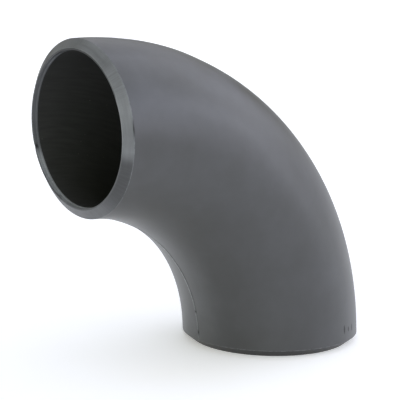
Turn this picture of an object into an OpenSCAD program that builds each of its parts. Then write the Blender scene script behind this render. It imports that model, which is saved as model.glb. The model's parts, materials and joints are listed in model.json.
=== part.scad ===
// Long-radius 90 degree butt-weld pipe elbow.
//
// The elbow is two pressed half shells that meet in the plane of the bend. They are
// welded to each other along the throat (the inside of the bend) and along the back
// (the outside of the bend), each seam from both sides of the wall. Both ends are
// machined: a bevel and a root face for the butt weld, and a short trued mouth.
//
// Frame: millimetres, +Z up. The origin is the centre of the lower end face, which
// looks along -Z. The upper end face looks along -X. The bend lies in the XZ plane.

/* [Pipe] */
// Outside diameter
outside_dia = 168.3; // [115:0.1:230]
// Wall thickness
wall = 10.97; // [7:0.01:18]

/* [Bend] */
// Distance from each end face to the point where the two end axes cross
centre_to_end = 228.6; // [150:0.1:400]

/* [Weld ends] */
// Angle of the weld bevel, measured from the end face
bevel_angle = 37.5; // [20:0.5:45]
// Width of the flat root face left inside the bevel
root_face = 1.6; // [0.8:0.1:2.4]
// How much the machined mouth stands back from the bore, on the radius
mouth_relief = 0.57; // [0.2:0.01:1.5]
// Length of the machined mouth
mouth_len = 3.8; // [2:0.1:12]

/* [Seams] */
// Gap between the two half shells at the middle of the wall
root_gap = 1.2; // [0.6:0.1:3]
// Included angle of each seam groove, one from outside and one from inside
groove_angle = 16; // [8:1:60]
// Height of a seam bead above the wall
bead_height = 0.5; // [0.2:0.1:1.5]
// Width of a bead's crown as a share of the bead's width
crown_share = 0.4; // [0.2:0.05:0.8]

/* [Hidden] */
$fn = 96;

paint_grey = [0.33, 0.335, 0.345];
weld_grey = [0.42, 0.425, 0.43];

// Radii of the wall
outer_r = outside_dia / 2;
bore_r = outer_r - wall;
middle_r = (outer_r + bore_r) / 2;

// Radii of an end, from the mouth outwards
mouth_r = bore_r + mouth_relief;
face_r = mouth_r + root_face;

// How far a cutting tool runs past what it cuts
overrun = 3;

// Slope of a groove's side: how fast it moves away from the bend plane
groove_slope = tan(groove_angle / 2);

// Each end of the bend: the two seams lie at these sides of the section
THROAT = -1;
BACK = 1;
NEAR = -1;
FAR = 1;

// Half the width of a groove at a radius of the section. The groove is narrowest at
// the middle of the wall and widens both ways.
function groove_half(r) = root_gap / 2 + abs(r - middle_r) * groove_slope;

// Where a groove's side meets a circle of radius r: its distance from the section's
// centre, along the bend plane. way is 1 for the outer groove and -1 for the inner.
function groove_reach(r, way) =
    let (
        s = way * groove_slope,
        c = root_gap / 2 - middle_r * s,
        a = 1 + s * s
    )
    (-c * s + sqrt(c * c * s * s - a * (c * c - r * r))) / a;

// Both grooves of one seam, as one waisted outline that runs past the wall
module groove_outline(seam) {
    far_out = outer_r + overrun;
    far_in = bore_r - overrun;
    polygon([
        [seam * far_in, -groove_half(far_in)],
        [seam * middle_r, -groove_half(middle_r)],
        [seam * far_out, -groove_half(far_out)],
        [seam * far_out, groove_half(far_out)],
        [seam * middle_r, groove_half(middle_r)],
        [seam * far_in, groove_half(far_in)],
    ]);
}

// Section of one half shell: half of the wall's ring, with both seams' grooves taken
// out of its edges. x is away from the bend's centre and y is across the bend plane.
module half_shell_section(side) {
    reach = outer_r + overrun;
    difference() {
        circle(r = outer_r);
        circle(r = bore_r);
        groove_outline(THROAT);
        groove_outline(BACK);
        translate([-reach, side == NEAR ? 0 : -reach])
            square([2 * reach, reach]);
    }
}

// Section of one weld run: it fills its groove from the middle of the wall to the
// surface, and its crown stands bead_height above the surface.
module weld_section(seam, way) {
    surface_r = way > 0 ? outer_r : bore_r;
    edge_x = groove_reach(surface_r, way);
    edge_half = groove_half(edge_x);
    crown_x = surface_r + way * bead_height;
    crown_half = edge_half * crown_share;
    polygon([
        [seam * middle_r, -groove_half(middle_r)],
        [seam * edge_x, -edge_half],
        [seam * crown_x, -crown_half],
        [seam * crown_x, crown_half],
        [seam * edge_x, edge_half],
        [seam * middle_r, groove_half(middle_r)],
    ]);
}

// Carries a section round the bend, from the lower end face to the upper one
module around_bend() {
    translate([-centre_to_end, 0, 0])
        rotate([90, 0, 0])
            rotate_extrude(angle = 90)
                translate([centre_to_end, 0])
                    mirror([0, 1])
                        children();
}

// Places what is drawn on +Z, from the lower end face inwards, at the upper end too
module at_both_ends() {
    children();
    translate([-centre_to_end, 0, centre_to_end])
        rotate([0, 90, 0])
            children();
}

// What machining takes off one end: the bevel outside the root face, and the mouth.
// The bevel's ring starts and ends a quarter turn away from the bend plane, so that
// its own joint lies clear of the seam welds.
module end_cut() {
    rim_r = outer_r + overrun;
    heel = overrun * tan(bevel_angle);
    rotate([0, 0, 90])
        rotate_extrude()
            polygon([
                [face_r - overrun, -heel],
                [rim_r, -heel],
                [rim_r, (rim_r - face_r) * tan(bevel_angle)],
            ]);
    translate([0, 0, -overrun])
        cylinder(r = mouth_r, h = overrun + mouth_len);
}

// Carries a section round the bend and machines its two ends
module machined_bend() {
    difference() {
        around_bend()
            children();
        at_both_ends()
            end_cut();
    }
}

module near_half_shell() {
    color(paint_grey)
        machined_bend()
            half_shell_section(NEAR);
}

module far_half_shell() {
    color(paint_grey)
        machined_bend()
            half_shell_section(FAR);
}

module throat_outer_weld() {
    color(weld_grey)
        machined_bend()
            weld_section(THROAT, 1);
}

module throat_inner_weld() {
    color(weld_grey)
        machined_bend()
            weld_section(THROAT, -1);
}

module back_outer_weld() {
    color(weld_grey)
        machined_bend()
            weld_section(BACK, 1);
}

module back_inner_weld() {
    color(weld_grey)
        machined_bend()
            weld_section(BACK, -1);
}

near_half_shell();
far_half_shell();
throat_outer_weld();
throat_inner_weld();
back_outer_weld();
back_inner_weld();
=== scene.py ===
"""Looks of a long-radius butt-weld pipe elbow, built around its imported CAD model.

The elbow stands on its lower end. The lower end face is the plane z = 0, the upper end face looks
along -X, and the bend lies in the XZ plane. All lengths are metres.

A point of the elbow is given by three coordinates. The radius and the turn place it in the pipe's
round section: the turn is 0 on the back of the bend, a quarter turn on the far side (+Y), half a
turn in the throat, and minus a quarter turn on the near side (-Y). The bend angle then carries the
section round the bend, from 0 at the lower end face to a quarter turn at the upper one.
"""

from __future__ import annotations

import json
import logging
import math
from dataclasses import dataclass
from enum import Enum
from typing import Any, Mapping, Sequence

import bpy
import numpy as np
from mathutils import Matrix, Vector

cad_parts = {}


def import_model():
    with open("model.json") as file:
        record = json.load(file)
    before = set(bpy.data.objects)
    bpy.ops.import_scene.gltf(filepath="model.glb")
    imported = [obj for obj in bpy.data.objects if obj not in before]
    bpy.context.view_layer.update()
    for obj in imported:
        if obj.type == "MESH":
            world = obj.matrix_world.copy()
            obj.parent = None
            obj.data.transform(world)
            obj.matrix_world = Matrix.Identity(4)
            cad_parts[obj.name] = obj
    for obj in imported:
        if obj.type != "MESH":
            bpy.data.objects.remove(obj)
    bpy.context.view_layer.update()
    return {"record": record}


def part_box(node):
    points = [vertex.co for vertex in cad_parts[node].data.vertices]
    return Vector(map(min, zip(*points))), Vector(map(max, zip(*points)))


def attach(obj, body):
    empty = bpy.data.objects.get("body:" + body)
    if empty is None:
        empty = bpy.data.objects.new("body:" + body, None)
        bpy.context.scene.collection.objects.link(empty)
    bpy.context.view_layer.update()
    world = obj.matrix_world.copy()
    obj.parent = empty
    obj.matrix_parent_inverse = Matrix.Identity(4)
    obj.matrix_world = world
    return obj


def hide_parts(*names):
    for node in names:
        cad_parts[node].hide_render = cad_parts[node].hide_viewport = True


frame: dict[str, Any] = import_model()

LOG = logging.getLogger("elbow")
MM = 0.001
BODY = "root"
TOUCHING = 0.01 * MM  # radii closer than this are the same

Array = np.ndarray
Colour = tuple[float, float, float, float]
Material = bpy.types.Material
Node = bpy.types.Node
Socket = bpy.types.NodeSocket


# --------------------------------------------------------------------------------------------
# Sizes
# --------------------------------------------------------------------------------------------


class Side(Enum):
    """The two half shells, by the sign of Y that they lie on."""

    NEAR = -1
    FAR = 1


class Seam(Enum):
    """The two seams, by the sign of their place in the section, away from the bend's centre."""

    THROAT = -1
    BACK = 1


class Skin(Enum):
    """The surfaces of a half shell that have a finish of their own, in material order."""

    OUTSIDE = 0
    BEVEL = 1
    ROOT_FACE = 2
    MOUTH = 3
    BORE = 4


@dataclass(frozen=True)
class ElbowSizes:
    """The elbow's sizes.

    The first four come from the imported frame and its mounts. The others are the same named sizes
    as in the CAD model, which the frame doesn't list.
    """

    bend_radius: float
    outer_radius: float
    mouth_radius: float
    mouth_length: float
    mouth_relief: float = 0.57 * MM
    root_face: float = 1.6 * MM
    bevel_slope: float = math.tan(math.radians(37.5))
    root_gap: float = 1.2 * MM
    groove_slope: float = math.tan(math.radians(16.0 / 2))
    bead_height: float = 0.5 * MM

    @classmethod
    def from_frame(cls) -> ElbowSizes:
        """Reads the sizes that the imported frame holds.

        Returns:
            The elbow's sizes.
        """
        low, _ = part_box("near_half_shell")
        mounts = {m["name"]: m for m in frame["record"]["mounts"]}
        mouth = mounts["lower_mouth"]["dims"]
        return cls(
            bend_radius=-low.x,
            outer_radius=-low.y,
            mouth_radius=mouth["r_mm"] * MM,
            mouth_length=mouth["length_mm"] * MM,
        )

    @property
    def bore_radius(self) -> float:
        """Radius of the bore behind the machined mouth."""
        return self.mouth_radius - self.mouth_relief

    @property
    def face_radius(self) -> float:
        """Outer radius of the root face, where the bevel starts."""
        return self.mouth_radius + self.root_face

    @property
    def middle_radius(self) -> float:
        """Radius of the middle of the wall."""
        return (self.outer_radius + self.bore_radius) / 2

    def bevel_depth(self, radius: float) -> float:
        """How far behind the end face the bevel is at a radius, on the bevel's straight slope."""
        return (radius - self.face_radius) * self.bevel_slope

    def groove_half(self, radius: Array | float) -> Array | float:
        """Half the width of a seam groove, which widens both ways from the middle of the wall.

        Args:
            radius: Distance from the section's centre.

        Returns:
            The groove's half width there.
        """
        return self.root_gap / 2 + abs(radius - self.middle_radius) * self.groove_slope

    def groove_turn(self, radius: Array) -> Array:
        """Turn from a seam's middle to its groove's edge: asin(groove half / radius)."""
        return np.arcsin(self.groove_half(radius) / radius)

    def at(self, radius: Array, turn: Array, angle: Array) -> Array:
        """Places points of the elbow in space.

        The section's centre runs on a quarter circle about the axis x = -bend_radius, z = 0. A
        point's distance from that axis is the bend radius plus radius * cos(turn).

        Args:
            radius: Distance from the section's centre.
            turn: Turn in the section.
            angle: Bend angle.

        Returns:
            The points, with the coordinates in the last axis.
        """
        reach = self.bend_radius + radius * np.cos(turn)
        return np.stack(
            np.broadcast_arrays(
                -self.bend_radius + reach * np.cos(angle),
                radius * np.sin(turn),
                reach * np.sin(angle),
            ),
            axis=-1,
        )

    def depth_angle(self, radius: Array, turn: Array, depth: Array) -> Array:
        """Bend angle of a point at a given depth behind an end face: asin(depth / reach).

        Args:
            radius: Distance from the section's centre.
            turn: Turn in the section.
            depth: Distance from the end face's plane.

        Returns:
            The bend angle, counted from that end.
        """
        return np.arcsin(depth / (self.bend_radius + radius * np.cos(turn)))


# --------------------------------------------------------------------------------------------
# Meshes
# --------------------------------------------------------------------------------------------


def smooth_step(value: Array, low: float, high: float) -> Array:
    """Rises smoothly from 0 at low to 1 at high, as 3 t^2 - 2 t^3.

    Args:
        value: Where to evaluate it.
        low: Where the rise starts.
        high: Where the rise ends.

    Returns:
        The values from 0 to 1.
    """
    t = np.clip((value - low) / (high - low), 0.0, 1.0)
    return t * t * (3.0 - 2.0 * t)


def bump_at(value: Array, centre: float, width: float) -> Array:
    """A bell curve of height 1, exp(-((value - centre) / width)^2).

    Args:
        value: Where to evaluate it.
        centre: The bell's middle.
        width: Where it has dropped to 1 / e.

    Returns:
        The values from 0 to 1.
    """
    return np.exp(-(((value - centre) / width) ** 2))


def filleted(corners: Sequence[tuple[float, float, float, int]], arc_steps: int = 5) -> Array:
    """Runs a line through corners and rounds each inner one with an arc.

    An arc of radius f at a corner whose two sides meet at the angle a starts and ends
    f / tan(a / 2) from it. Between the arcs, each side is cut into equal steps.

    Args:
        corners: (radius, depth, fillet radius, steps along the side that leads on from here).
        arc_steps: Steps in each arc.

    Returns:
        The line's points, (n, 2).
    """
    pts = [np.array(c[:2]) for c in corners]
    starts, ends, arcs = [pts[0]], [], []
    for before, here, after, corner in zip(pts[:-2], pts[1:-1], pts[2:], corners[1:-1]):
        back = (before - here) / np.linalg.norm(before - here)
        on = (after - here) / np.linalg.norm(after - here)
        if corner[2] == 0.0:
            arcs.append(here[None])
            ends.append(here)
            starts.append(here)
            continue
        half = math.acos(float(np.clip(back @ on, -1, 1))) / 2
        set_back = corner[2] / math.tan(half)
        middle = (back + on) / np.linalg.norm(back + on)
        centre = here + middle * corner[2] / math.sin(half)
        first, last = here + back * set_back, here + on * set_back
        sweep = np.linspace(0.0, 1.0, arc_steps + 1)[:, None]
        chord = first * (1 - sweep) + last * sweep - centre
        arcs.append(centre + corner[2] * chord / np.linalg.norm(chord, axis=1, keepdims=True))
        ends.append(first)
        starts.append(last)
    ends.append(pts[-1])
    line = [pts[0][None]]
    for i, (start, end) in enumerate(zip(starts, ends)):
        steps = np.linspace(0.0, 1.0, corners[i][3] + 1)[1:, None]
        side = start * (1 - steps) + end * steps
        line.append(side if i == len(starts) - 1 else side[:-1])
        if i < len(arcs):
            line.append(arcs[i])
    return np.concatenate(line)


def facing_out(points: Array, faces: Array) -> Array:
    """Turns a closed surface's quads to face outwards.

    The sum of the signed volumes between the origin and each face is negative when they face in.

    Args:
        points: (n, 3) vertices.
        faces: (m, 4) quads.

    Returns:
        The quads, all turned round if they faced in.
    """
    a, b, c, d = (points[faces[:, i]] for i in range(4))
    volume = np.einsum("ij,ij->i", a, np.cross(b, c) + np.cross(c, d)).sum()
    return faces if volume > 0 else faces[:, ::-1]


def make_object(
    name: str,
    points: Array,
    faces: Array,
    materials: Sequence[Material],
    skins: Array | None = None,
    attributes: Mapping[str, Array] | None = None,
    sharp_degrees: float = 40.0,
) -> bpy.types.Object:
    """Makes a smooth-shaded object from quads, with its creases kept sharp.

    Args:
        name: The object's name.
        points: (n, 3) vertices in the frame's metres.
        faces: (m, 4) quads.
        materials: The object's materials.
        skins: Material index of each quad.
        attributes: Per-vertex values by name: (n,) floats or (n, 3) vectors.
        sharp_degrees: Edges that turn by more than this stay sharp.

    Returns:
        The object, linked into the scene.
    """
    mesh = bpy.data.meshes.new(name)
    mesh.vertices.add(len(points))
    mesh.vertices.foreach_set("co", points.astype(np.float32).ravel())
    mesh.loops.add(faces.size)
    mesh.loops.foreach_set("vertex_index", faces.astype(np.int32).ravel())
    mesh.polygons.add(len(faces))
    mesh.polygons.foreach_set("loop_start", np.arange(0, faces.size, 4, dtype=np.int32))
    for material in materials:
        mesh.materials.append(material)
    if skins is not None:
        mesh.polygons.foreach_set("material_index", skins.astype(np.int32))
    for key, values in (attributes or {}).items():
        vector = values.ndim == 2
        made = mesh.attributes.new(key, "FLOAT_VECTOR" if vector else "FLOAT", "POINT")
        made.data.foreach_set("vector" if vector else "value", values.astype(np.float32).ravel())
    mesh.update(calc_edges=True)
    mesh.validate()
    mesh.shade_smooth()
    mesh.set_sharp_from_angle(angle=math.radians(sharp_degrees))
    made_object = bpy.data.objects.new(name, mesh)
    bpy.context.scene.collection.objects.link(made_object)
    return made_object


# --------------------------------------------------------------------------------------------
# Material tools
# --------------------------------------------------------------------------------------------


def linear(hex_code: str) -> Colour:
    """Turns an sRGB hex colour into the linear colour that shaders use.

    Args:
        hex_code: Six hex digits after a #.

    Returns:
        Linear red, green, blue and an alpha of 1.
    """
    shares = [int(hex_code[i : i + 2], 16) / 255 for i in (1, 3, 5)]
    red, green, blue = (s / 12.92 if s <= 0.04045 else ((s + 0.055) / 1.055) ** 2.4 for s in shares)
    return red, green, blue, 1.0


def per_metre(size_mm: float) -> float:
    """A texture's scale on coordinates in metres, for features of a size in millimetres."""
    return 1.0 / (size_mm * MM)


def add_node(
    tree: bpy.types.NodeTree,
    kind: str,
    settings: Mapping[str, Any] | None = None,
    inputs: Mapping[str | int, Any] | None = None,
) -> Node:
    """Adds one node to a tree.

    Args:
        tree: The node tree.
        kind: The node's type name.
        settings: The node's own settings by name.
        inputs: For each input, by name or number: a socket to link, or a value to set.

    Returns:
        The node.
    """
    node = tree.nodes.new(kind)
    for key, value in (settings or {}).items():
        setattr(node, key, value)
    for key, value in (inputs or {}).items():
        if isinstance(value, Socket):
            tree.links.new(value, node.inputs[key])
        else:
            node.inputs[key].default_value = value
    return node


def curve_points(node: Node, stops: Sequence[tuple[float, Colour]]) -> Node:
    """Sets a colour ramp's stops.

    Args:
        node: The colour ramp.
        stops: Each stop's place and colour, in order.

    Returns:
        The same node.
    """
    ramp = node.color_ramp
    while len(ramp.elements) > 1:
        ramp.elements.remove(ramp.elements[-1])
    ramp.elements[0].position, ramp.elements[0].color = stops[0]
    for place, colour in stops[1:]:
        ramp.elements.new(place).color = colour
    return node


def new_material(name: str) -> tuple[Material, bpy.types.NodeTree, Node]:
    """Makes an empty node material.

    Args:
        name: The material's name.

    Returns:
        The material, its tree and its principled shader, which is linked to the output.
    """
    material = bpy.data.materials.new(name)
    material.use_nodes = True
    tree = material.node_tree
    tree.nodes.clear()
    shader = add_node(tree, "ShaderNodeBsdfPrincipled")
    add_node(tree, "ShaderNodeOutputMaterial", inputs={"Surface": shader.outputs["BSDF"]})
    return material, tree, shader


class Brush:
    """Adds nodes to one material's tree in the few shapes that the finishes share."""

    def __init__(self, name: str) -> None:
        """Starts an empty material.

        Args:
            name: The material's name.
        """
        self.material, self.tree, self.shader = new_material(name)
        self.place = self.node("ShaderNodeTexCoord").outputs["Object"]
        self.run = self.attribute("run", "Vector")

    def node(
        self, kind: str, settings: Mapping[str, Any] | None = None, inputs: Mapping | None = None
    ) -> Node:
        """Adds one node, as add_node does."""
        return add_node(self.tree, kind, settings, inputs)

    def attribute(self, name: str, output: str = "Fac") -> Socket:
        """An attribute of the mesh."""
        return self.node("ShaderNodeAttribute", {"attribute_name": name}).outputs[output]

    def noise(
        self, place: Socket, size_mm: float, detail: float = 2.0, rough: float = 0.5
    ) -> Socket:
        """Cloudy noise.

        Args:
            place: Coordinates in metres.
            size_mm: Size of its largest features.
            detail: How many finer layers it has.
            rough: How strong the finer layers are.

        Returns:
            Its value, about 0.5 on average.
        """
        scale = per_metre(size_mm)
        inputs = {"Vector": place, "Scale": scale, "Detail": detail, "Roughness": rough}
        return self.node("ShaderNodeTexNoise", inputs=inputs).outputs["Fac"]

    def stretched(
        self, size_mm: tuple[float, float], degrees: float = 0.0, detail: float = 2.0
    ) -> Socket:
        """Noise drawn out along the surface.

        Args:
            size_mm: Feature size across the run's first and second direction.
            degrees: How far the grain is turned.
            detail: How many finer layers it has.

        Returns:
            Its value.
        """
        turned = {
            "Vector": self.run,
            "Rotation": (0.0, 0.0, math.radians(degrees)),
            "Scale": (per_metre(size_mm[0]), per_metre(size_mm[1]), 1.0),
        }
        drawn = self.node("ShaderNodeMapping", inputs=turned).outputs[0]
        inputs = {"Vector": drawn, "Scale": 1.0, "Detail": detail, "Roughness": 0.6}
        return self.node("ShaderNodeTexNoise", inputs=inputs).outputs["Fac"]

    def span(
        self,
        value: Socket,
        low: float,
        high: float,
        to_low: float = 0.0,
        to_high: float = 1.0,
    ) -> Socket:
        """Maps the values from low to high onto another span, and holds them at its ends."""
        inputs = {0: value, 1: low, 2: high, 3: to_low, 4: to_high}
        return self.node("ShaderNodeMapRange", inputs=inputs).outputs[0]

    def shaded(self, colour: Socket | Colour, *factors: Socket) -> Socket:
        """Multiplies a colour by values that are 1 where they change nothing."""
        for factor in factors:
            inputs = {0: colour[:3] if isinstance(colour, tuple) else colour, "Scale": factor}
            colour = self.node("ShaderNodeVectorMath", {"operation": "SCALE"}, inputs).outputs[0]
        return colour

    def mix(self, share: Any, first: Any, second: Any) -> Socket:
        """Mixes two colours: the first where the share is 0, the second where it is 1."""
        inputs = {0: share, 6: first, 7: second}
        return self.node("ShaderNodeMix", {"data_type": "RGBA"}, inputs).outputs[2]

    def maths(self, operation: str, *values: Any) -> Socket:
        """One step of arithmetic."""
        inputs = dict(enumerate(values))
        return self.node("ShaderNodeMath", {"operation": operation}, inputs).outputs[0]

    def bump(self, height: Socket, height_mm: float, strength: float = 0.6) -> None:
        """Links a height, as a share of height_mm, to the shader's normal."""
        inputs = {"Strength": strength, "Distance": height_mm * MM, "Height": height}
        self.link(self.node("ShaderNodeBump", inputs=inputs).outputs["Normal"], "Normal")

    def link(self, value: Socket, name: str) -> None:
        """Links a value to one of the shader's inputs."""
        self.tree.links.new(value, self.shader.inputs[name])

    def dulled(self, share: Socket) -> None:
        """Takes most of the shine off where the share is 1: under ink, in darkened places, and as
        painted shade.
        """
        shiny, dull = (1.0, 1.0, 1.0, 1.0), (0.25, 0.25, 0.25, 1.0)
        self.link(self.mix(share, shiny, dull), "Specular Tint")

    def with_wear_highlight_and_shade(
        self, colour: Socket, edge_colour: str, grime_and_shade_colour: str, chip_mm: float
    ) -> Socket:
        """Lightens a colour on the edges, unevenly, as wear and painted highlight, and darkens it
        in pits and nicks and, as painted shade, on the bevel that the elbow stands on.

        Args:
            colour: The finish's colour.
            edge_colour: What shows on the edges: wear and painted highlight.
            grime_and_shade_colour: What shows in the darkened pits and nicks and in the painted
                shade.
            chip_mm: Size of the lightened patches along the edges.

        Returns:
            The colour with its edges lightened and its dark places darkened.
        """
        chips = self.span(self.noise(self.place, chip_mm, 3.0, 0.65), 0.36, 0.62)
        share = self.maths("MULTIPLY", self.attribute("edge"), chips)
        # Edges lightened: wear and painted highlight.
        rubbed_and_highlit = self.mix(share, colour, linear(edge_colour))
        # Darkened in pits and nicks, and as painted shade on the bevel that the elbow stands on.
        return self.mix(self.attribute("grime_and_shade"), rubbed_and_highlit, linear(grime_and_shade_colour))


@dataclass(frozen=True)
class Dab:
    """A short stroke of marking ink: where its middle lies along and round, and its half sizes."""

    along_mm: float
    turn_degrees: float
    half_along_mm: float
    half_round_mm: float


@dataclass(frozen=True)
class SatinPaint:
    """Satin enamel, spray-painted over a hot-pressed steel shell.

    The eye gets an even dark grey with a soft sheen, cloudy at the scale of a hand, finely grained
    by the scale under the paint, and lighter on the edges, as wear and painted highlight. The tone
    attribute lays painted light and shade over it.
    """

    name: str = "satin_grey_enamel"
    colour: str = "#343536"
    light_cloud: str = "#3b3c3e"
    dark_cloud: str = "#2e2f2f"
    # Colour of the lightened edges: wear and painted highlight.
    edge_colour: str = "#6a6c6e"
    # Colour of the darkened pits and nicks.
    grime_and_shade_colour: str = "#0c0c0c"
    ink_colour: str = "#070708"
    roughness: float = 0.37
    gloss: float = 0.8
    cloud_mm: float = 48.0
    mottle_mm: float = 11.0
    mottle: float = 0.06
    grain_mm: float = 1.3
    peel_mm: float = 3.5
    peel_height_mm: float = 0.02
    chip_mm: float = 4.0
    ragged_mm: float = 1.2
    dabs: Sequence[Dab] = ()

    def make(self) -> Material:
        """Builds the material.

        Returns:
            The material.
        """
        b = Brush(self.name)
        cloud = b.noise(b.place, self.cloud_mm, 4.0, 0.55)
        stops = [(0.34, self.dark_cloud), (0.5, self.colour), (0.66, self.light_cloud)]
        ramp = b.node("ShaderNodeValToRGB", inputs={"Fac": cloud})
        tones = curve_points(ramp, [(at, linear(code)) for at, code in stops]).outputs["Color"]
        grain = b.noise(b.place, self.grain_mm, 3.0, 0.6)
        grained = b.mix(b.span(grain, 0.35, 0.75, 0.0, 0.3), tones, linear(self.light_cloud))
        patchy = b.noise(b.place, self.mottle_mm, 2.0)
        mottle = b.span(patchy, 0.35, 0.65, 1 - self.mottle, 1 + self.mottle)
        # The tone attribute is painted light and shade: lighter where light falls, darker where it
        # is shaded.
        mottled_with_painted_light = b.shaded(grained, mottle, b.attribute("tone"))
        # Edges lightened as wear and painted highlight; pits and nicks darkened.
        worn_highlit_and_shaded = b.with_wear_highlight_and_shade(mottled_with_painted_light, self.edge_colour, self.grime_and_shade_colour, self.chip_mm)
        ink_grime_and_shade = b.attribute("grime_and_shade")
        for dab in self.dabs:
            ink = self._dab(b, dab)
            worn_highlit_and_shaded = b.mix(ink, worn_highlit_and_shaded, linear(self.ink_colour))
            ink_grime_and_shade = b.maths("MAXIMUM", ink_grime_and_shade, ink)
        # Shine taken off under ink and in the darkened places.
        b.dulled(ink_grime_and_shade)
        b.link(worn_highlit_and_shaded, "Base Color")
        b.link(b.span(cloud, 0.3, 0.7, self.roughness - 0.03, self.roughness + 0.05), "Roughness")
        b.shader.inputs["Specular IOR Level"].default_value = self.gloss
        peel = b.noise(b.place, self.peel_mm, 2.0, 0.5)
        b.bump(b.maths("MULTIPLY_ADD", grain, 0.35, peel), self.peel_height_mm)
        return b.material

    def _dab(self, b: Brush, dab: Dab) -> Socket:
        """How much ink a dab leaves: an oval with a soft and slightly ragged edge.

        Args:
            b: The material's brush.
            dab: The dab.

        Returns:
            Its share, from 0 to 1.
        """
        low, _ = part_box("near_half_shell")
        scale = (per_metre(dab.half_along_mm), per_metre(dab.half_round_mm), 1.0)
        place = (dab.along_mm * MM, math.radians(dab.turn_degrees) * -low.y, 0.0)
        shift = tuple(-p * s for p, s in zip(place, scale))
        inputs = {"Vector": b.run, "Location": shift, "Scale": scale}
        away = b.node("ShaderNodeMapping", inputs=inputs).outputs[0]
        length = b.node("ShaderNodeVectorMath", {"operation": "LENGTH"}, {0: away}).outputs["Value"]
        ragged = b.maths("MULTIPLY_ADD", b.noise(b.place, self.ragged_mm), 0.5, length)
        return b.span(ragged, 1.0, 1.5, 0.95, 0.0)


@dataclass(frozen=True)
class TurnedPaint:
    """Thin enamel over a machined bevel or face.

    The eye gets the lathe's rings showing through: fine light and dark lines that run round the
    end, crossed in places by the hatching of a hand grinder.
    """

    name: str = "thin_enamel_on_turned_steel"
    colour: str = "#58595c"
    # Colour of the lightened edges: wear and painted highlight.
    edge_colour: str = "#646668"
    # Colour of the darkened nicks and of the painted shade on the bevel that the elbow stands on.
    grime_and_shade_colour: str = "#0b0b0b"
    roughness: float = 0.45
    ring_mm: tuple[float, float] = (0.8, 60.0)
    hatch_mm: tuple[float, float] = (9.0, 1.3)
    hatch_degrees: float = 35.0
    ground_mm: float = 45.0
    blotch_mm: float = 16.0
    chip_mm: float = 6.0
    contrast: float = 0.18
    ring_height_mm: float = 0.02

    def make(self) -> Material:
        """Builds the material.

        Returns:
            The material.
        """
        b = Brush(self.name)
        rings = b.stretched(self.ring_mm)
        hatch = b.stretched(self.hatch_mm, self.hatch_degrees)
        ground = b.span(b.noise(b.place, self.ground_mm), 0.45, 0.6)
        inputs = {0: ground, 2: rings, 3: hatch}
        marks = b.node("ShaderNodeMix", {"data_type": "FLOAT"}, inputs).outputs[0]
        share = b.span(marks, 0.3, 0.7, 1 - self.contrast, 1 + self.contrast)
        blotch = b.span(b.noise(b.place, self.blotch_mm, 3.0), 0.3, 0.7, 0.9, 1.1)
        painted = b.shaded(linear(self.colour), share, blotch)
        # Edges lightened as wear and painted highlight; nicks darkened, and the bevel that the
        # elbow stands on darkened as painted shade.
        worn_highlit_and_shaded = b.with_wear_highlight_and_shade(painted, self.edge_colour, self.grime_and_shade_colour, self.chip_mm)
        b.dulled(b.attribute("grime_and_shade"))
        # The tone attribute is painted light, shade and reflection on the machined end.
        b.link(b.shaded(worn_highlit_and_shaded, b.attribute("tone")), "Base Color")
        b.shader.inputs["Roughness"].default_value = self.roughness
        b.bump(marks, self.ring_height_mm, 0.5)
        return b.material


@dataclass(frozen=True)
class BoreScale:
    """Black mill scale with a thin film of oil, as hot forming leaves it.

    The eye gets a nearly black, matt hollow with a faint drawn grain and a few pale specks.
    """

    name: str = "oiled_mill_scale"
    colour: str = "#1f1f1e"
    light: str = "#272726"
    speck: str = "#6b6a66"
    roughness: float = 0.6
    grain_mm: tuple[float, float] = (30.0, 3.0)
    grain_height_mm: float = 0.05
    speck_mm: float = 9.0

    def make(self) -> Material:
        """Builds the material.

        Returns:
            The material.
        """
        b = Brush(self.name)
        grain = b.stretched(self.grain_mm, detail=4.0)
        scale = b.mix(b.span(grain, 0.35, 0.7), linear(self.colour), linear(self.light))
        inputs = {"Vector": b.place, "Scale": per_metre(self.speck_mm)}
        cells = b.node("ShaderNodeTexVoronoi", inputs=inputs).outputs["Distance"]
        specks = b.span(cells, 0.04, 0.08, 0.5, 0.0)
        # Painted light: the bore is made lighter towards the throat by the tone attribute.
        scale_with_painted_light = b.shaded(scale, b.attribute("tone"))
        b.link(b.mix(specks, scale_with_painted_light, linear(self.speck)), "Base Color")
        b.shader.inputs["Roughness"].default_value = self.roughness
        b.bump(grain, self.grain_height_mm, 0.4)
        return b.material


# --------------------------------------------------------------------------------------------
# Half shells
# --------------------------------------------------------------------------------------------


@dataclass(frozen=True)
class Nick:
    """A small knock on the upper end, darkened and dulled inside.

    Attributes:
        turn_degrees: Turn in the section of its middle.
        radius: Distance of its middle from the end's axis.
        depth: Distance of its middle from the end face.
        length_mm: How far it reaches round the end.
        width_mm: How far it reaches across the end.
        sunk_mm: How deep it is.
    """

    turn_degrees: float
    radius: float
    depth: float
    length_mm: float
    width_mm: float
    sunk_mm: float


@dataclass(frozen=True)
class Pit:
    """A pit in a weld: where it lies along the seam, from the lower end, and its half length."""

    along_mm: float
    half_mm: float


@dataclass(frozen=True)
class Grid:
    """The skin of a piece, as rows along its meridian and columns through its turns.

    Attributes:
        radius: Distance from the section's centre, per row.
        depth: Distance behind the end face, per row, and 1 away from the ends.
        stretch: Part of the meridian that each row is on.
        turn: Turn in the section of each point.
        angle: Bend angle of each point.
    """

    radius: Array
    depth: Array
    stretch: Array
    turn: Array
    angle: Array

    @property
    def at_end(self) -> Array:
        """Which rows are on a machined end."""
        return (self.stretch == Stretch.UPPER_END.value) | (self.stretch == Stretch.LOWER_END.value)


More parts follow.
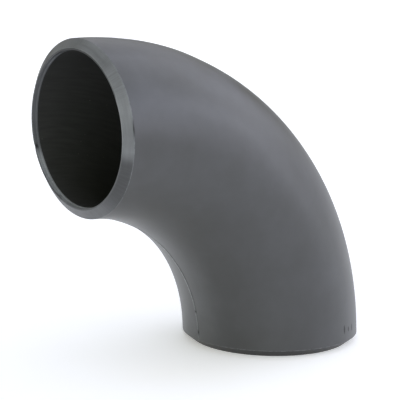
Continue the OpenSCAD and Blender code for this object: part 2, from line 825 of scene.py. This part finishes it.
@dataclass(frozen=True)
class Patch:
    """A patch of painted light or shade: a place painted lighter or darker than around it.

    Attributes:
        tone: What it multiplies the finish's colour by.
        middle: Turn of its middle, in degrees.
        half: Half its width, in degrees of turn. With the default it goes all the way round.
        fade: Degrees of turn over which it fades at each edge.
        rise: Bend angles in degrees between which it comes in, or none where it is everywhere.
    """

    tone: float
    middle: float = 0.0
    half: float = 360.0
    fade: float = 1.0
    rise: tuple[float, float] | None = None

    def share(self, turn: Array, angle: Array) -> Array:
        """How much of the patch there is: 1 inside it, with a smooth step to 0 over each edge.

        Args:
            turn: Turns in the section.
            angle: Bend angles.

        Returns:
            The shares from 0 to 1.
        """
        away = np.abs((np.degrees(turn) - self.middle + 180.0) % 360.0 - 180.0)
        share = 1 - smooth_step(away, self.half - self.fade / 2, self.half + self.fade / 2)
        return share * smooth_step(np.degrees(angle), *self.rise) if self.rise else share


@dataclass(frozen=True)
class PaintedShading:
    """Painted light and shade over the elbow, as multiples of each finish's colour.

    Attributes:
        wall: Patches of painted light and shade on the outside. Here and below, each patch covers
            those before it.
        bevel: Patches of painted light, shade and reflection on the upper end's bevel.
        root_face: Patches of its root face.
        mouth: Patches of its mouth.
        lower_end: Tone of the lower end's bevel, made dark as painted shade where it meets the
            floor.
        lower_shade: How much darker and duller that bevel is made, as painted shade.
        bore_throat: Tone of the bore along the throat, made lighter as painted light. It is 1 along
            the back.
    """

    # Painted shade on the near side; painted light along the throat and over the upper back.
    wall: Sequence[Patch] = (
        Patch(1.02),
        Patch(0.61, middle=-118.0, half=47.0, fade=36.0),
        Patch(1.65, middle=160.0, half=31.0, fade=36.0),
        Patch(1.55, middle=-15.0, half=36.0, fade=40.0, rise=(25.0, 75.0)),
    )
    # Painted light, shade and reflection on the upper end's bevel, root face and mouth.
    bevel: Sequence[Patch] = (
        Patch(0.42),
        Patch(1.72, middle=-30.0, half=68.0, fade=14.0),
        Patch(1.3, middle=-86.0, half=10.0, fade=16.0),
        Patch(0.97, middle=-170.0, half=28.0, fade=22.0),
    )
    root_face: Sequence[Patch] = (
        Patch(0.15),
        Patch(0.68, middle=-149.0, half=50.0, fade=8.0),
        Patch(0.45, middle=-47.0, half=12.0, fade=14.0),
        Patch(1.7, middle=-78.0, half=21.0, fade=6.0),
        Patch(0.55, middle=78.0, half=52.0, fade=25.0),
    )
    mouth: Sequence[Patch] = (
        Patch(0.38),
        Patch(1.22, middle=76.0, half=44.0, fade=22.0),
        Patch(3.2, middle=159.0, half=43.0, fade=14.0),
    )
    # Painted shade on the bevel that the elbow stands on; painted light in the bore towards the
    # throat.
    lower_end: float = 0.3
    lower_shade: float = 0.8
    bore_throat: float = 2.3

    @staticmethod
    def laid(patches: Sequence[Patch], turn: Array, angle: Array) -> Array:
        """Lays patches over each other.

        Args:
            patches: The patches, from the lowest one up.
            turn: Turns in the section.
            angle: Bend angles.

        Returns:
            The tones there.
        """
        tones = np.ones_like(turn)
        for patch in patches:
            share = patch.share(turn, angle)
            tones = tones * (1 - share) + patch.tone * share
        return tones


class Stretch(Enum):
    """The parts of a piece's meridian, in order."""

    OUTER = 0
    UPPER_END = 1
    INNER = 2
    LOWER_END = 3


@dataclass
class WallPiece:
    """A piece of the pipe wall between two radii and two turns, machined at both ends.

    The piece is one closed surface. Its meridian runs up along the outer radius, over the upper
    end, down along the inner radius and over the lower end. It is swept through the piece's
    turns, and quads across the wall close the two side faces.
    """

    sizes: ElbowSizes
    painted_shading: PaintedShading
    name: str
    slot: str
    finishes: Sequence[Material]
    outer: float
    inner: float
    columns: int = 236
    steps: int = 132
    rim_edge: float = 0.4 * MM
    face_edge: float = 0.25 * MM
    # Width of the lightened edges: wear and painted highlight.
    wear_and_highlight_width: float = 0.35 * MM
    run_in: float = 2.4 * MM

    @property
    def outermost(self) -> bool:
        """Whether the piece reaches the elbow's outside."""
        return self.outer > self.sizes.middle_radius + TOUCHING

    def turns(self, radius: Array) -> Array:
        """The turn of each column at each radius.

        Args:
            radius: (rows,) radii.

        Returns:
            (rows, columns) turns.
        """
        raise NotImplementedError

    def relief(self, grid: Grid) -> tuple[Array, Array]:
        """What the skin has beyond its plain shape.

        Args:
            grid: The skin.

        Returns:
            How far each point moves away from the section's centre, and how much it is darkened.
        """
        return np.zeros_like(grid.turn), np.zeros_like(grid.turn)

    def tone(self, grid: Grid) -> Array:
        """Painted light and shade: how much lighter or darker each point's colour is made.

        The patches of painted light and shade give the outside and the upper end; the bevel that
        the elbow stands on is made dark as painted shade. The bore is painted lighter towards the
        throat, by (1 - cos(turn)) / 2, as painted light.

        Args:
            grid: The skin.

        Returns:
            (rows, columns) multiples of the finish's usual colour.
        """
        painted_shading, turn, angle = self.painted_shading, grid.turn, grid.angle
        tone = painted_shading.laid(painted_shading.wall, turn, angle)
        skins = self._finish_at(grid.radius, grid.depth)
        ends = {Skin.BEVEL: painted_shading.bevel, Skin.ROOT_FACE: painted_shading.root_face, Skin.MOUTH: painted_shading.mouth}
        for skin, patches in ends.items():
            rows = (skins == skin.value) & (grid.stretch == Stretch.UPPER_END.value)
            tone[rows] = painted_shading.laid(patches, turn[rows], angle[rows])
        # Painted shade on the bevel that the elbow stands on.
        tone[self._stood_on(grid)] = painted_shading.lower_end
        bore = skins == Skin.BORE.value
        # Painted light in the bore, towards the throat.
        tone[bore] = 1 + (painted_shading.bore_throat - 1) * (1 - np.cos(turn[bore])) / 2
        return tone

    def end_profile(self) -> Array:
        """Radius and depth along one machined end, from the outer radius to the inner one.

        Returns:
            (n, 2) points.
        """
        s = self.sizes
        depth = s.bevel_depth(self.outer)
        corners = [
            (self.outer, depth + self.run_in, 0.0, 3),
            (self.outer, depth, self.rim_edge if self.outermost else 0.0, 10),
        ]
        if self.inner < s.face_radius:
            corners += [
                (s.face_radius, 0.0, self.face_edge, 3),
                (s.mouth_radius, 0.0, self.face_edge, 4),
                (s.mouth_radius, s.mouth_length, 0.1 * MM, 1),
                (s.bore_radius, s.mouth_length, 0.2 * MM, 3),
                (s.bore_radius, s.mouth_length + self.run_in, 0.0, 0),
            ]
        else:
            depth = s.bevel_depth(self.inner)
            corners += [(self.inner, depth, 0.0, 3), (self.inner, depth + self.run_in, 0.0, 0)]
        line = filleted(corners)
        if len(line) % 2:
            line = np.insert(line, -1, (line[-2] + line[-1]) / 2, axis=0)
        return line

    def grid(self) -> Grid:
        """Lays out the skin.

        Returns:
            The skin's rows and columns.
        """
        s = self.sizes
        profile = self.end_profile()
        radius, depth = profile[1:-1, 0], profile[1:-1, 1]
        parts = []
        for line_radius, first_depth in ((self.outer, profile[0, 1]), (self.inner, profile[-1, 1])):
            turn = np.repeat(self.turns(np.array([line_radius])), self.steps, axis=0)
            first = s.depth_angle(line_radius, turn[0], first_depth)
            angle = first + (math.pi / 2 - 2 * first) * np.linspace(0, 1, self.steps)[:, None]
            parts.append((np.full(self.steps, line_radius), np.ones(self.steps), turn, angle))
        turn = self.turns(radius)
        angle = s.depth_angle(radius[:, None], turn, depth[:, None])
        end = (radius, depth, turn, angle)
        upper = (radius, depth, turn, math.pi / 2 - angle)
        flip = slice(None, None, -1)
        ordered = (parts[0], upper, tuple(v[flip] for v in parts[1]), tuple(v[flip] for v in end))
        columns = [np.concatenate(values) for values in zip(*ordered)]
        stretch = np.repeat([0, 1, 2, 3], [len(part[0]) for part in ordered])
        return Grid(columns[0], columns[1], stretch, columns[2], columns[3])

    def build(self) -> bpy.types.Object:
        """Builds the piece, dresses it and puts it in place of its CAD node.

        Returns:
            The piece's object.
        """
        s = self.sizes
        grid = self.grid()
        out, grime_and_shade = self.relief(grid)
        stood_on = self._stood_on(grid)
        # Painted shade: the bevel that the elbow stands on is darkened and dulled where it meets
        # the floor.
        grime_and_shade[stood_on] = np.maximum(grime_and_shade[stood_on], self.painted_shading.lower_shade)
        radius = np.repeat(grid.radius[:, None], self.columns, axis=1)
        points = s.at(radius + out, grid.turn, grid.angle).reshape(-1, 3)
        faces, skins = self._quads(grid)
        run = self._run(grid)
        edge = np.repeat(self._edges(grid)[:, None], self.columns, axis=1)
        made = make_object(
            self.name + "_skin",
            points,
            facing_out(points, faces),
            self.finishes,
            skins,
            {
                "run": run.reshape(-1, 3),
                # Lightened edges and weld crowns: wear and painted highlight.
                "edge": np.clip(edge + self.rub_and_highlight(grid), 0, 1).ravel(),
                "grime_and_shade": grime_and_shade.ravel(),
                # Painted light and shade.
                "tone": self.tone(grid).ravel(),
            },
        )
        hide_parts(self.name)
        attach(made, BODY)
        return made

    def rub_and_highlight(self, grid: Grid) -> Array:
        """How far each point is lightened, from 0 to 1, besides its edges: wear and painted
        highlight.
        """
        return np.zeros_like(grid.turn)

    def _quads(self, grid: Grid) -> tuple[Array, Array]:
        """The piece's quads and the finish of each.

        Args:
            grid: The skin.

        Returns:
            (n, 4) indices and (n,) material numbers.
        """
        rows = len(grid.radius)
        ring = np.arange(rows)[:, None] * self.columns + np.arange(self.columns)
        looped = np.concatenate([ring, ring[:1]])
        here, after = looped[:-1], looped[1:]
        wall = np.stack([here[:, :-1], here[:, 1:], after[:, 1:], after[:, :-1]], axis=-1)
        quads = [wall.reshape(-1, 4)]
        skins = [np.repeat(self._skins(grid), self.columns - 1)]
        for column, flip in ((0, False), (self.columns - 1, True)):
            cap = self._side_face(ring[:, column], grid.stretch)
            quads.append(cap[:, ::-1] if flip else cap)
            skins.append(np.full(len(cap), Skin.BORE.value))
        return np.concatenate(quads), np.concatenate(skins)

    def _side_face(self, ring: Array, stretch: Array) -> Array:
        """Quads that close one side face.

        The inner stretch's points are matched to the outer one's. At each end, the profile's
        points are joined in pairs from its two ends inwards.

        Args:
            ring: The meridian's vertices on this side.
            stretch: The part of the meridian that each one is on.

        Returns:
            (n, 4) indices.
        """
        outer, top, inner, low = (ring[stretch == part.value] for part in Stretch)
        inner, low = inner[::-1], low[::-1]
        quads = [np.stack([outer[:-1], inner[:-1], inner[1:], outer[1:]], axis=-1)]
        for line, place in ((low, 0), (top, -1)):
            half = (len(line) + 1) // 2
            a = np.r_[outer[place], line[:half]]
            b = np.r_[inner[place], line[::-1][:half]]
            pairs = np.stack([a[:-1], a[1:], b[1:], b[:-1]], axis=-1)
            quads.append(pairs if place == 0 else pairs[:, ::-1])
        return np.concatenate(quads)

    def _run(self, grid: Grid) -> Array:
        """Metres along the surface: along the bend or across an end, and round the section.

        Args:
            grid: The skin.

        Returns:
            (rows, columns, 3) coordinates.
        """
        across = np.where(grid.at_end, grid.radius - grid.depth, 0.0)
        along = np.where(grid.at_end[:, None], across[:, None], self.sizes.bend_radius * grid.angle)
        round_it = self.sizes.outer_radius * grid.turn
        return np.stack([along, round_it, np.zeros_like(along)], axis=-1)

    def _skins(self, grid: Grid) -> Array:
        """The finish of each row of quads, from where the middle of the row lies."""
        radius = (grid.radius + np.roll(grid.radius, -1)) / 2
        depth = (grid.depth + np.roll(grid.depth, -1)) / 2
        return self._finish_at(radius, depth)

    def _finish_at(self, radius: Array, depth: Array) -> Array:
        """The finish at points of the meridian.

        Args:
            radius: Distances from the section's centre.
            depth: Distances behind the end face.

        Returns:
            Material numbers.
        """
        s = self.sizes
        skins = np.full(len(radius), Skin.BORE.value)
        skins[radius > s.face_radius] = Skin.BEVEL.value
        skins[(depth > s.bevel_depth(self.outer)) & (radius > s.middle_radius)] = Skin.OUTSIDE.value
        skins[(depth < self.face_edge) & (radius <= s.face_radius)] = Skin.ROOT_FACE.value
        mouth = (radius < s.mouth_radius + TOUCHING) & (depth < s.mouth_length + self.run_in)
        skins[mouth & (depth >= self.face_edge)] = Skin.MOUTH.value
        return skins

    def _stood_on(self, grid: Grid) -> Array:
        """Which rows are on the bevel that the elbow stands on."""
        bevel = self._finish_at(grid.radius, grid.depth) == Skin.BEVEL.value
        return bevel & (grid.stretch == Stretch.LOWER_END.value)

    def _edges(self, grid: Grid) -> Array:
        """Wear and painted highlight of each row: 1 on the machined edges, fading within a third of
        a millimetre.
        """
        s = self.sizes
        rim = (s.outer_radius, s.bevel_depth(s.outer_radius))
        corners = (rim, (s.face_radius, 0.0), (s.mouth_radius, 0.0))
        away = np.min([np.hypot(grid.radius - r, grid.depth - d) for r, d in corners], axis=0)
        return bump_at(away, 0.0, self.wear_and_highlight_width)


@dataclass
class HalfShell(WallPiece):
    """One pressed half of the elbow, with half of each machined end."""

    side: Side = Side.NEAR
    press_depth: float = 0.16 * MM
    waves: Sequence[tuple[float, float, float, float]] = (
        (1.0, 2.0, 3.1, 0.7),
        (0.8, 3.0, -6.3, 2.1),
        (0.5, 5.0, 9.7, 4.0),
        (0.35, 8.0, -13.9, 1.2),
    )
    wave_fade: tuple[float, float] = (0.04, 0.2)
    nicks: Sequence[Nick] = ()

    def turns(self, radius: Array) -> Array:
        """From this half's edge at the back seam to its edge at the throat seam."""
        edge = self.sizes.groove_turn(radius)[:, None]
        share = np.linspace(0.0, 1.0, self.columns)
        return self.side.value * (edge + (math.pi - 2 * edge) * share)

    def relief(self, grid: Grid) -> tuple[Array, Array]:
        """Sinks the outside a little where pressing left it low, and knocks in the nicks, darkened
        inside.

        The outside is low by a sum of slow waves, height * sin(around * turn + along * angle +
        start), scaled to run from 0 to press_depth. They fade out towards both ends, which are
        sized and machined.

        Args:
            grid: The skin.

        Returns:
            How far each point moves outwards, and how much it is darkened.
        """
        turn, angle = grid.turn, grid.angle
        total = sum(
            height * np.sin(around * turn + along * angle + start)
            for height, around, along, start in self.waves
        )
        share = 0.5 + total / (2 * sum(wave[0] for wave in self.waves))
        from_end = np.minimum(angle, math.pi / 2 - angle)
        inside = smooth_step(from_end, *self.wave_fade)
        outer = (grid.stretch == Stretch.OUTER.value)[:, None]
        out = -self.press_depth * share * inside * outer
        grime_and_shade = np.zeros_like(turn)
        upper = (grid.stretch == Stretch.UPPER_END.value)[:, None]
        for nick in self.nicks:
            round_it = (turn - math.radians(nick.turn_degrees)) * nick.radius
            across = np.hypot(grid.radius - nick.radius, grid.depth - nick.depth)[:, None]
            bell = bump_at(round_it, 0.0, nick.length_mm * MM) * upper
            bell = bell * bump_at(across, 0.0, nick.width_mm * MM)
            out = out - nick.sunk_mm * MM * bell
            # Each nick is darkened and dulled inside.
            grime_and_shade = np.maximum(grime_and_shade, bell)
        return out, grime_and_shade


@dataclass
class SeamWeld(WallPiece):
    """One run of a seam weld: it fills its groove, and its crown stands above the wall."""

    columns: int = 13
    seam: Seam = Seam.THROAT
    crown_fade: float = 0.012
    ripple_mm: float = 2.3
    ripple_height: float = 0.05 * MM
    pit_depth: float = 0.45 * MM
    pits: Sequence[Pit] = ()

    def turns(self, radius: Array) -> Array:
        """From one side of the groove to the other, about the seam's place."""
        middle = 0.0 if self.seam is Seam.BACK else math.pi
        return middle + self.sizes.groove_turn(radius)[:, None] * self._places()

    def _places(self) -> Array:
        """Each column's place across the groove, from -1 to 1, closer together at the sides."""
        return np.sin(np.linspace(-math.pi / 2, math.pi / 2, self.columns))

    def _crown(self, grid: Grid) -> Array:
        """The crown's shape: 1 along the middle of the surface, 0 at its edges and ends."""
        surface = grid.stretch == (Stretch.OUTER if self.outermost else Stretch.INNER).value
        across = 1 - self._places() ** 2
        from_end = np.minimum(grid.angle, math.pi / 2 - grid.angle)
        first = from_end[surface].min()
        faded = smooth_step(from_end, first, first + self.crown_fade)
        return surface[:, None] * across * faded

    def relief(self, grid: Grid) -> tuple[Array, Array]:
        """Raises the crown, with the ripples of the weld pool, and sinks the pits, darkened inside.

        The crown's height is bead_height times its shape and a slow wander along the seam. The
        ripples trail back from its middle as chevrons.

        Args:
            grid: The skin.

        Returns:
            How far each point moves outwards, and how much it is darkened.
        """
        s = self.sizes
        crown = self._crown(grid)
        surface = self.outer if self.outermost else self.inner
        place = (s.bend_radius + self.seam.value * surface) * grid.angle
        behind = np.abs(self._places()) * s.groove_half(surface)
        phase = 2 * math.pi * (place - 0.9 * behind) / (self.ripple_mm * MM)
        wander = 0.12 * np.sin(place / (31.0 * MM) + 1.0) + 0.08 * np.sin(place / (11.3 * MM))
        height = crown * (0.7 + wander) * s.bead_height
        height = height + np.sqrt(crown) * self.ripple_height * np.sin(phase)
        grime_and_shade = np.zeros_like(height)
        for pit in self.pits:
            bell = bump_at(place, pit.along_mm * MM, pit.half_mm * MM) * np.sqrt(crown)
            height = height - self.pit_depth * bell
            # Each pit is darkened and dulled.
            grime_and_shade = np.maximum(grime_and_shade, bell)
        height = np.minimum(height, 0.98 * s.bead_height)
        return (height if self.outermost else -height), grime_and_shade

    def rub_and_highlight(self, grid: Grid) -> Array:
        """The crown is lighter than the wall beside it, by wear and a painted highlight, least near
        the lower end.
        """
        return 0.8 * self._crown(grid) ** 2 * (0.25 + 0.75 * smooth_step(grid.angle, 0.1, 0.5))


# --------------------------------------------------------------------------------------------
# Studio
# --------------------------------------------------------------------------------------------


COOL = "#ebeeff"  # a light tent's white wall
BLUE = "#c8d6ff"  # daylight from above
GREENISH = "#f2fff2"  # a faint green from the left of the room


@dataclass(frozen=True)
class SoftLight:
    """One even wash of the studio, as a light tent's wall gives it.

    Attributes:
        name: Its name.
        azimuth: Where it comes from, in degrees: 0 is in front of the elbow (-Y), 90 from +X.
        elevation: Degrees above the floor.
        strength: Its irradiance.
        tint: Its colour.
        spread: Its apparent width in degrees.
    """

    name: str
    azimuth: float
    elevation: float
    strength: float
    tint: str = "#ffffff"
    spread: float = 55.0

    def build(self) -> bpy.types.Object:
        """Builds the light.

        Returns:
            The light's object.
        """
        a, e = math.radians(self.azimuth), math.radians(self.elevation)
        way = Vector((math.sin(a) * math.cos(e), -math.cos(a) * math.cos(e), math.sin(e)))
        data = bpy.data.lights.new(self.name, "SUN")
        data.angle = math.radians(self.spread)
        data.energy = self.strength
        data.color = linear(self.tint)[:3]
        made = bpy.data.objects.new(self.name, data)
        made.rotation_euler = way.to_track_quat("Z", "Y").to_euler()
        bpy.context.scene.collection.objects.link(made)
        return made


@dataclass
class Studio:
    """The pale floor, the soft lights and the camera.

    The camera stands at a distance from the elbow's middle, at an azimuth and elevation in
    degrees. It aims aim_right and aim_up metres past the middle, and the lens is in millimetres.
    """

    sizes: ElbowSizes
    azimuth: float = -35.619
    elevation: float = 13.615
    distance: float = 3.651
    roll: float = 1.099
    lens: float = 347.9
    aim_right: float = 0.02332
    aim_up: float = 0.03304
    floor_half: float = 30.0
    floor_colour: str = "#fdfdfd"
    floor_glow: float = 0.36
    surround: float = 0.23
    surround_tint: str = "#fff8d0"
    lights: Sequence[SoftLight] = (
        SoftLight("front_wash", 0.0, 8.0, 1.1, COOL),
        SoftLight("front_right_wash", 45.0, 8.0, 1.2, COOL),
        SoftLight("right_wash", 90.0, 8.0, 0.45, COOL),
        SoftLight("left_wash", 270.0, 8.0, 0.25, GREENISH),
        SoftLight("front_left_wash", 315.0, 8.0, 1.05, GREENISH),
        SoftLight("high_front", 22.0, 38.0, 0.4, BLUE),
        SoftLight("high_right", 82.0, 38.0, 0.8, COOL),
        SoftLight("high_back", 142.0, 38.0, 0.55, COOL),
        SoftLight("top_light", 180.0, 72.0, 0.6, BLUE),
    )

    def build(self) -> None:
        """Builds the floor, the world, the lights and the camera."""
        r = self.sizes.bend_radius
        middle = Vector((-r / 2, 0.0, r / 2))
        self._floor()
        self._world()
        for light in self.lights:
            light.build()
        self._camera(middle)

    def _floor(self) -> None:
        """A plain pale floor that stands for the paper sweep under the elbow."""
        half = self.floor_half
        points = np.array([[-half, -half, 0], [half, -half, 0], [half, half, 0], [-half, half, 0]])
        material, _, shader = new_material("pale_paper_sweep")
        shader.inputs["Base Color"].default_value = linear(self.floor_colour)
        shader.inputs["Roughness"].default_value = 0.9
        shader.inputs["Emission Color"].default_value = linear(self.floor_colour)
        shader.inputs["Emission Strength"].default_value = self.floor_glow
        floor = make_object("floor", points, np.array([[0, 1, 2, 3]]), [material])

    def _world(self) -> None:
        """An even, dim and nearly white surround."""
        world = bpy.data.worlds.new("white_surround")
        bpy.context.scene.world = world
        world.use_nodes = True
        tree = world.node_tree
        tree.nodes.clear()
        inputs = {"Color": linear(self.surround_tint), "Strength": self.surround}
        glow = add_node(tree, "ShaderNodeBackground", inputs=inputs)
        add_node(tree, "ShaderNodeOutputWorld", inputs={"Surface": glow.outputs[0]})

    def _camera(self, middle: Vector) -> None:
        """A long-lens camera, aimed a little above and to the right of the elbow's middle.

        Args:
            middle: The elbow's middle, which it stands level with along its line of sight.
        """
        a, e, roll = (math.radians(v) for v in (self.azimuth, self.elevation, self.roll))
        back = Vector((math.sin(a) * math.cos(e), -math.cos(a) * math.cos(e), math.sin(e)))
        level = Vector((0, 0, 1)).cross(back).normalized()
        upright = back.cross(level)
        right = math.cos(roll) * level + math.sin(roll) * upright
        up = -math.sin(roll) * level + math.cos(roll) * upright
        place = middle + back * self.distance
        aim = middle + right * self.aim_right + up * self.aim_up
        behind = (place - aim).normalized()
        side = up.cross(behind).normalized()
        top = behind.cross(side)
        data = bpy.data.cameras.new("camera")
        data.lens = self.lens
        data.sensor_width = 36.0
        data.clip_end = 50.0
        camera = bpy.data.objects.new("camera", data)
        turned = Matrix((side, top, behind)).transposed().to_4x4()
        camera.matrix_world = Matrix.Translation(place) @ turned
        bpy.context.scene.collection.objects.link(camera)
        bpy.context.scene.camera = camera
        bpy.context.scene.view_settings.view_transform = "Standard"


# --------------------------------------------------------------------------------------------
# The elbow
# --------------------------------------------------------------------------------------------


def paints() -> tuple[list[Material], list[Material]]:
    """Makes the finishes.

    Returns:
        The shells' materials and the welds' materials, each in the order of Skin.
    """
    strokes = (Dab(17.0, -68.0, 3.6, 1.2), Dab(15.6, -62.5, 2.0, 1.3), Dab(15.2, -57.0, 2.9, 1.5))
    shell = SatinPaint(dabs=strokes).make()
    weld = SatinPaint(
        name="satin_grey_enamel_on_weld",
        colour="#3d3e3f",
        light_cloud="#474849",
        # A light crown on the weld: wear and a painted highlight along its ridge.
        edge_colour="#8b8d8f",
    ).make()
    machined = [
        TurnedPaint().make(),
        TurnedPaint(name="thin_enamel_on_root_face").make(),
        TurnedPaint(name="thin_enamel_in_mouth").make(),
        BoreScale().make(),
    ]
    return [shell, *machined], [weld, *machined]


def half_shells(sizes: ElbowSizes, painted_shading: PaintedShading, finishes: Sequence[Material]) -> list[HalfShell]:
    """Lays out the two half shells.

    Args:
        sizes: The elbow's sizes.
        painted_shading: Its painted light and shade.
        finishes: Their materials.

    Returns:
        The near and the far half shell.
    """
    outer, knock = sizes.outer_radius, 0.8 * MM
    nicks = {
        Side.NEAR: (Nick(-80.0, outer, sizes.bevel_depth(outer), 7.5, 0.7, 0.28),),
        Side.FAR: (
            Nick(113.0, sizes.mouth_radius + knock, 0.6 * MM, 2.4, 2.2, 1.2),
            Nick(158.0, sizes.face_radius + knock, 1.0 * MM, 2.2, 2.2, 1.4),
        ),
    }
    return [
        HalfShell(
            sizes,
            painted_shading,
            f"{side.name.lower()}_half_shell",
            "grey_painted_steel",
            finishes,
            outer=outer,
            inner=sizes.bore_radius,
            side=side,
            nicks=nicks[side],
        )
        for side in Side
    ]


def seam_welds(sizes: ElbowSizes, painted_shading: PaintedShading, finishes: Sequence[Material]) -> list[SeamWeld]:
    """Lays out the outer and the inner run of each seam weld, which meet in the middle of the wall.

    Args:
        sizes: The elbow's sizes.
        painted_shading: Its painted light and shade.
        finishes: Their materials.

    Returns:
        The throat's two welds and the back's two.
    """
    runs = (
        ("outer", "painted_weld", sizes.outer_radius, sizes.middle_radius),
        ("inner", "dark_bore", sizes.middle_radius, sizes.bore_radius),
    )
    steps = {Seam.THROAT: 440, Seam.BACK: 900}  # about half a millimetre each
    pits = {(Seam.THROAT, "outer"): (Pit(15.3, 2.4), Pit(36.5, 1.6))}
    return [
        SeamWeld(
            sizes,
            painted_shading,
            f"{seam.name.lower()}_{way}_weld",
            slot,
            finishes,
            outer=outer,
            inner=inner,
            steps=steps[seam],
            seam=seam,
            pits=pits.get((seam, way), ()),
        )
        for seam in Seam
        for way, slot, outer, inner in runs
    ]


def main() -> None:
    """Builds the studio and every piece of the elbow, in order, and reports each one."""
    logging.basicConfig(level=logging.INFO, format="%(name)s: %(message)s")
    sizes, painted_shading = ElbowSizes.from_frame(), PaintedShading()
    Studio(sizes).build()
    on_shells, on_welds = paints()
    pieces = [*half_shells(sizes, painted_shading, on_shells), *seam_welds(sizes, painted_shading, on_welds)]
    for piece in pieces:
        made = piece.build()
        LOG.info("%s: %d faces", made.name, len(made.data.polygons))


if __name__ == "__main__":
    main()
